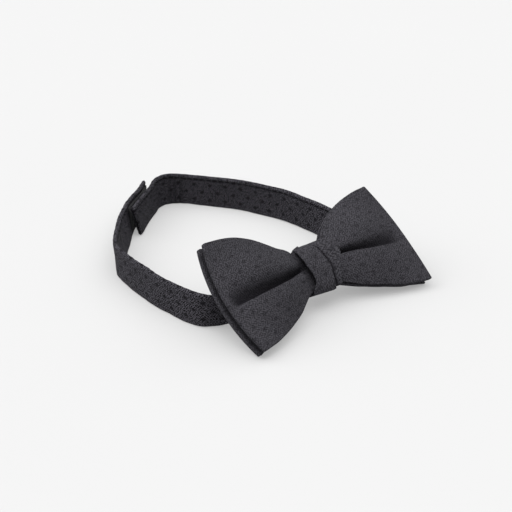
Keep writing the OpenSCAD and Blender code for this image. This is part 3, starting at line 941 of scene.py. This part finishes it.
class Route:
    """A smooth curve through [x, y, z, lean] points, read by distance along it."""

    def __init__(self, points):
        p = np.array(points, float)
        p[:, :3] -= ORIGIN
        self.p = np.vstack([2 * p[0] - p[1], p, 2 * p[-1] - p[-2]])
        self.t = np.linspace(0, len(p) - 1, 40 * (len(p) - 1) + 1)
        self.s = arc_length(self.curve(self.t)[0][None, :, :3])[0]
        self.length = self.s[-1]

    def curve(self, t):
        i = np.clip(t.astype(int), 0, len(self.p) - 4)
        u = (t - i)[:, None]
        a, b, c, d = (self.p[i + k] for k in range(4))
        square, cube = 2 * a - 5 * b + 4 * c - d, 3 * b - 3 * c + d - a
        place = 0.5 * (2 * b + (c - a) * u + square * u**2 + cube * u**3)
        return place, 0.5 * ((c - a) + 2 * square * u + 3 * cube * u**2)

    def at_point(self, k):
        """Distance along the curve of its point number k."""
        return float(np.interp(k, self.t, self.s))

    def frames(self, s):
        """Point, direction, outward direction and direction up the band's width at each distance."""
        place, slope = self.curve(np.interp(s, self.s, self.t))
        lean = np.radians(place[:, 3])[:, None]
        along = unit(slope[:, :3] * np.array([1, 1, 0]))
        inward = np.stack([-along[:, 1], along[:, 0], np.zeros(len(along))], 1)
        z = np.array([0, 0, 1.0])
        outward = -inward * np.cos(lean) + z * np.sin(lean)
        return place[:, :3], along, outward, inward * np.sin(lean) + z * np.cos(lean)


BAND = Route(ROUTE)
S_FOLD, S_CUT, S_LEFT, S_KNOT, S_RIGHT, S_CORNER = (
    BAND.at_point(k) for k in (FOLD_AT, BAND_CUT_AT, LEFT_AT, KNOT_AT, RIGHT_AT, CORNER_AT)
)
BAND_T = 2.4
BAND_W = 20.0
BAND_CLOTH = 0.5
SEAM_B = 8.05
SEAM_DROP = 0.9
FACE_A = BAND_T / 2 - BAND_CLOTH / 2
ARC_B = BAND_W / 2 - BAND_T / 2
END_ROUND = 0.6
END_SLANT = 2.8
SLANT_LEN = 12

# Folds at the tight corner, and painted shade in its creases: distance from it, depth or darkness of painted
# shade, width
CORNER_FOLDS = ((-9.5, 0.35, 1.3), (-4.5, 0.5, 1.1), (0.5, 0.5, 1.2), (5.5, 0.35, 1.2))
CORNER_CREASE_SHADE = ((-5.5, 0.45, 1.0), (-1.5, 0.6, 0.9), (1.8, 0.4, 1.1))


def sleeve_line():
    """Centre line of the sleeve's cloth as (outward, up) points, from its tucked edge to its seam edge."""
    half_turn = np.radians(np.linspace(0, 180, 11))
    tuck = [(-FACE_A + SEAM_DROP, b) for b in np.linspace(9.0, SEAM_B, 3)]
    drop = [(-FACE_A + SEAM_DROP * (1 - ease(k)), SEAM_B - 0.15 - 1.0 * k) for k in np.linspace(0.15, 1, 5)]
    inside = [(-FACE_A, b) for b in np.linspace(SEAM_B - 1.5, -ARC_B, 17)]
    bottom = [(-FACE_A * math.cos(a), -ARC_B - FACE_A * math.sin(a)) for a in half_turn[1:-1]]
    outside = [(FACE_A, b) for b in np.linspace(-ARC_B, ARC_B, 19)]
    top = [(FACE_A * math.cos(a), ARC_B + FACE_A * math.sin(a)) for a in half_turn[1:-1]]
    lap = [(-FACE_A, b) for b in np.linspace(ARC_B, SEAM_B + 0.12, 3)]
    return np.array(tuck + drop + inside + bottom + outside + top + lap)


def band_wander(s, a, b):
    """Hand-made unevenness of the band: soft waves, puckers at the seam and creases in the tight corner."""
    waves = 0.16 * ripple(s, b, 26.0, 0.4) + 0.07 * ripple(s, b, 9.0, 2.0)
    pucker = 0.10 * np.sin(2 * math.pi * s / 4.6 + 0.8 * np.sin(s / 7)) * bell(b - 8.6, 2.2)
    inside = np.where(a < 0, 1.0, 0.25)
    creases = sum(
        depth * bell(s - S_CORNER - at, width) * (0.75 + 0.25 * np.sin(b / 4 + at))
        for at, depth, width in CORNER_FOLDS
    )
    return waves + pucker + inside * creases


def flap_lift(s):
    """How far the flap's tip stands off the strap under it."""
    return 0.5 * ease((14 - s) / 14) ** 1.3


def placed(frames, s, lift, height, b):
    """Points lifted off the band's middle, at a height up it, with its waves and the slant of its end."""
    point, along, outward, up = frames
    lift = lift + flap_lift(s)
    height = height + 0.12 * ripple(s, 0 * s, 31.0, 1.1)
    slant = END_SLANT * (b / (BAND_W / 2)) * ease((s - BAND.length + SLANT_LEN) / SLANT_LEN)
    return point + lift[..., None] * outward + height[..., None] * up + slant[..., None] * along


def rounded(distance):
    """Share of its thickness that a sleeve has at a distance from its rounded end."""
    return np.sqrt(np.clip(1 - (1 - distance / END_ROUND).clip(0) ** 2, 0.3, 1))


def swept(line, offsets, stations, round_start=False, round_end=False):
    """Grids of points for a section line pushed to each side by offsets and swept along the band."""
    frames = [part[:, None] for part in BAND.frames(stations)]
    normal = section_normals(line)
    s = stations[:, None]
    flat = np.ones_like(s)
    if round_start:
        flat = np.minimum(flat, rounded(s - s[0]))
    if round_end:
        flat = np.minimum(flat, rounded(s[-1] - s))
    wander = band_wander(s, line[None, :, 0], line[None, :, 1])
    grids = []
    for offset in offsets:
        a, b = (line + offset * normal).T[:, None]
        grids.append(placed(frames, s, a * flat + wander, b * (1 - (1 - flat) * 0.02), b))
    return grids


def stations_between(start, end, step=0.9):
    return np.linspace(start, end, int((end - start) / step) + 1)


def with_round_end(stations, at_start, at_end):
    """Adds close stations where a sleeve's end is rounded off."""
    near = np.array([0.0, 0.03, 0.08, 0.16, 0.28, 0.45, 0.6, 1.1])
    if at_start:
        stations = np.concatenate([stations[0] + near, stations[stations > stations[0] + 1.6]])
    if at_end:
        stations = np.concatenate([stations[stations < stations[-1] - 1.6], stations[-1] - near[::-1]])
    return stations


def sleeve(name, start, end, at_start=False, at_end=False):
    line = sleeve_line()
    stations = with_round_end(stations_between(start, end), at_start, at_end)
    outer, inner = swept(line, (BAND_CLOTH / 2, -BAND_CLOTH / 2), stations, at_start, at_end)
    across = arc_length(line[None])[0]
    # Painted shade in the creases of the tight corner, on the inner face only
    inside = ease(-line[None, :, 0] / BAND_T + 0.5)
    past_corner = stations[:, None] - S_CORNER
    shade = inside * sum(dark * bell(past_corner - at, width) for at, dark, width in CORNER_CREASE_SHADE)
    return shell(name, outer, inner, cloth_map(stations, across), BAND_JACQUARD, shade=shade)


def canvas_strip(name, start, end):
    """The band's interlining, between its two faces."""
    line = np.stack([np.full(13, 0.26), np.linspace(-8.6, 8.8, 13)], 1)
    stations = stations_between(start, end, 1.8)
    front, back = swept(line, (0.28, -0.28), stations)
    return shell(name, front, back, cloth_map(stations, line[:, 1]), CANVAS)


def seam_stitches(name, start, end, spacing=4.0, length=1.1):
    """Slanting slip stitches across the seam on the band's inner face."""
    share = np.linspace(0, 1, 6)
    b = SEAM_B - 0.55 + 0.75 * share
    a = -BAND_T / 2 - 0.05 - 0.1 * np.sin(math.pi * share)
    lines = []
    for s in np.arange(start + spacing / 2, end, spacing):
        stations = s + length * (share - 0.5)
        lines.append(placed(BAND.frames(stations), stations, a + band_wander(stations, a, b), b, b))
    return tubes(name, lines, 0.13, THREAD)


def make_band():
    """Cloth, interlining and seam stitches of the band, in three lengths."""
    lengths = (
        ("flap", 0.0, S_CUT, (True, False), "band_left", "closure_flap", (S_FOLD + 9.0, S_FOLD - 5.0)),
        ("left", S_CUT, S_KNOT, (False, False), "bow", "band_left", (S_LEFT + 14.0, S_LEFT - 14.0)),
        ("right", S_KNOT, BAND.length, (False, True), "bow", "band_right", (S_RIGHT - 14.0, S_RIGHT + 14.0)),
    )
    for tag, start, end, ends, parent, child, bend_at in lengths:
        first, last = ends
        nodes = ["flap"] if tag == "flap" else [child, "band_centre"]
        cloth = sleeve(f"band_cloth_{tag}", start, end, first, last)
        canvas = canvas_strip(f"band_canvas_{tag}", start + 2.0 * first, end - 2.0 * last)
        seams = seam_stitches(f"band_seam_{tag}", start + 3.0 * first, end - 3.0 * last)
        for piece, suffix, slot in (
            (cloth, "", "jacquard"),
            (canvas, "_interlining", "interlining"),
            (seams, "_stitches", "thread"),
        ):
            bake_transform(piece)
            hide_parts(*(node + suffix for node in nodes))


# ---- closure tapes and end stitching

# The tapes: half their width, their length, the stitches' distance from an end, and ground, pile and hooks
TAPE_HALF = 7.2
TAPE_LEN = 33.0
END_INSET = 2.5
TAPE_BASE = 0.5
TAPE_PILE = 0.6
HOOK_PITCH = 1.25
PILE_LOOPS = 900


def on_band(s, a, b):
    """Points at distance s along the band, a out of the loop and b up its width, moved as its cloth is."""
    s, a, b = (np.asarray(v, float) for v in np.broadcast_arrays(s, a, b))
    return placed(BAND.frames(s), s, a + band_wander(s, np.where(a < 0, -1.0, 1.0), b), b, b)


def tape_ground(name, start, end, side):
    """The woven ground of a tape sewn on one face of the band: side 1 outside, -1 inside."""
    b = np.linspace(-TAPE_HALF, TAPE_HALF, 25)
    stations = stations_between(start, end, 1.0)
    grids = []
    for depth in (TAPE_BASE, 0.02):
        a = side * (BAND_T / 2 + depth)
        grids.append(np.array([on_band(np.full_like(b, s), a, b) for s in stations]))
    return shell(name, grids[0], grids[1], cloth_map(stations, b), TAPE)


def hooks(start, end):
    """Rows of small nylon hooks on the flap's inner face, bent over at their tips."""
    base = -(BAND_T / 2 + TAPE_BASE)
    bend_over = np.radians(np.array([0, 50, 100, 150]))
    lines = []
    rows = np.arange(start + 1, end - 0.8, HOOK_PITCH)
    for i, s in enumerate(rows):
        for j, b in enumerate(np.arange(-TAPE_HALF + 0.9, TAPE_HALF - 0.6, HOOK_PITCH)):
            turn = 1 if (i + j) % 2 else -1
            ds = np.concatenate([[0, 0], turn * 0.2 * (1 - np.cos(bend_over))])
            da = np.concatenate([[0, 0.15], 0.34 + 0.2 * np.sin(bend_over)])
            lines.append(on_band(s + ds, base - da, np.full(6, b)))
    return tubes("hook_field", lines, 0.075, HOOKS, sides=4)


def pile(start, end):
    """Fuzzy nylon loops standing on the strap's outer face."""
    rng = np.random.default_rng(7)
    base = BAND_T / 2 + TAPE_BASE
    lines = []
    turn = np.linspace(-0.15, 1.15, 8) * math.pi
    for _ in range(PILE_LOOPS):
        s, b = rng.uniform(start + 0.6, end - 0.6), rng.uniform(-TAPE_HALF + 0.5, TAPE_HALF - 0.5)
        wide, high, way = rng.uniform(0.25, 0.5), rng.uniform(0.35, TAPE_PILE), rng.uniform(0, math.pi)
        ds, db = wide * np.cos(turn) * math.cos(way), wide * np.cos(turn) * math.sin(way)
        lines.append(on_band(s + ds, base + high * 0.5 * (1 + np.sin(turn)) - 0.02, b + db))
    return tubes("loop_pile", lines, 0.05, PILE, sides=4)


def running_stitches(name, start, end, side, spacing=3.2, length=2.1):
    """Lines of running stitch through a tape's long edges."""
    share = np.linspace(0, 1, STITCH_POINTS)
    a = side * (BAND_T / 2 + TAPE_BASE + 0.02 + 0.12 * np.sin(math.pi * share))
    starts = np.arange(start + 1.2, end - length - 0.4, spacing)
    rows = (0.6 - TAPE_HALF, TAPE_HALF - 0.6)
    lines = [on_band(s + length * share, a, b) for b in rows for s in starts]
    return tubes(name, lines, 0.16, THREAD)


def sew_end(name, s, side, body, node):
    """A row of stitches across the band, just inside one of its ends."""
    share = np.linspace(0, 1, STITCH_POINTS)
    a = side * (BAND_T / 2 + 0.03 + 0.13 * np.sin(math.pi * share))
    lines = [on_band(s, a, b + 1.8 * share) for b in np.arange(-8.4, 7.0, 2.7)]
    rides(tubes(name, lines, 0.17, THREAD), body, node)


def make_tape(kind, body, start, end, side, fuzz):
    """A tape with its hooks or loops and its stitches, on one face of the band."""
    ground = tape_ground(f"{kind}_tape_ground", start, end, side)
    fuzzy = fuzz(start, end)
    sewing = running_stitches(f"{kind}_tape_sewing", start, end, side)
    for piece, node, slot in (
        (ground, f"{kind}_tape", f"{kind}_tape"),
        (fuzzy, f"{kind}_tape", f"{kind}_tape"),
        (sewing, f"{kind}_tape_stitches", "thread"),
    ):
        rides(piece, body, node)


def make_closure():
    hook_end = FLAP_LEN - 10.6
    loop_end = BAND.length - 1.3
    make_tape("hook", "closure_flap", hook_end - TAPE_LEN, hook_end, -1, hooks)
    sew_end("flap_tip_sewing", END_INSET, 1, "closure_flap", "flap_end_stitches")
    make_tape("loop", "band_right", loop_end - TAPE_LEN, loop_end, 1, pile)
    sew_end("inner_end_sewing", BAND.length - END_INSET, -1, "band_right", "band_right_end_stitches")


# ---- stage, light and camera


FLOOR_HALF = 12.0


def make_stage():
    h = FLOOR_HALF
    mesh = bpy.data.meshes.new("floor")
    mesh.from_pydata([(-h, -h, 0), (h, -h, 0), (h, h, 0), (-h, h, 0)], [], [(0, 1, 2, 3)])
    mesh.materials.append(floor_paper("pale_paper"))
    floor = bpy.data.objects.new("floor", mesh)
    bpy.context.scene.collection.objects.link(floor)


# Soft light all round: where each comes from, how tightly it is gathered and how strong it is
SKY = 0.26
SOFTBOXES = (
    ((-0.1, -0.3, 1.0), 6.0, 4.3),
    ((-0.72, 0.72, 0.8), 8.0, 5.4),
    ((0.9, 0.1, 0.9), 8.0, 2.0),
)


def make_light():
    """A white studio sky with three broad, soft patches of light."""
    world = bpy.data.worlds.new("studio")
    world.use_nodes = True
    sky = Nodes(world.node_tree)
    place = sky.node("ShaderNodeTexCoord").outputs["Generated"]
    strength = SKY
    for towards, gather, power in SOFTBOXES:
        direction = tuple(Vector(towards).normalized())
        facing = sky.node("ShaderNodeVectorMath", {0: place, 1: direction}, operation="DOT_PRODUCT")
        patch = sky.math("POWER", sky.math("MAXIMUM", facing.outputs["Value"], 0.0), gather)
        strength = sky.math("MULTIPLY_ADD", patch, power, strength)
    background = sky.tree.nodes["Background"]
    background.inputs["Color"].default_value = (1, 1, 1, 1)
    sky.join(strength, background.inputs["Strength"])
    bpy.context.scene.world = world


CAMERA_AZIMUTH = math.radians(39)
CAMERA_ELEVATION = math.radians(29)
CAMERA_DISTANCE = 0.626
CAMERA_AIM = (0.0103, -0.0013, 0)
CAMERA_LENS = 77.34


def make_camera():
    """The photo's camera, fitted to the band and the bow."""
    east, north, level = math.sin(CAMERA_AZIMUTH), math.cos(CAMERA_AZIMUTH), math.cos(CAMERA_ELEVATION)
    forward = Vector((east * level, north * level, -math.sin(CAMERA_ELEVATION)))
    right = Vector((north, -east, 0))
    up = right.cross(forward)
    data = bpy.data.cameras.new("camera")
    data.sensor_width = 36
    data.lens = CAMERA_LENS
    data.clip_start = 0.01
    data.clip_end = 20
    camera = bpy.data.objects.new("camera", data)
    axes = Matrix((right, up, -forward)).transposed()
    camera.matrix_world = Matrix.Translation(Vector(CAMERA_AIM) - CAMERA_DISTANCE * forward) @ axes.to_4x4()
    bpy.context.scene.collection.objects.link(camera)
    bpy.context.scene.camera = camera


make_stage()
make_light()
make_camera()
make_bow()
make_knot()
make_band()
make_closure()
bpy.context.scene.view_settings.view_transform = "Standard"
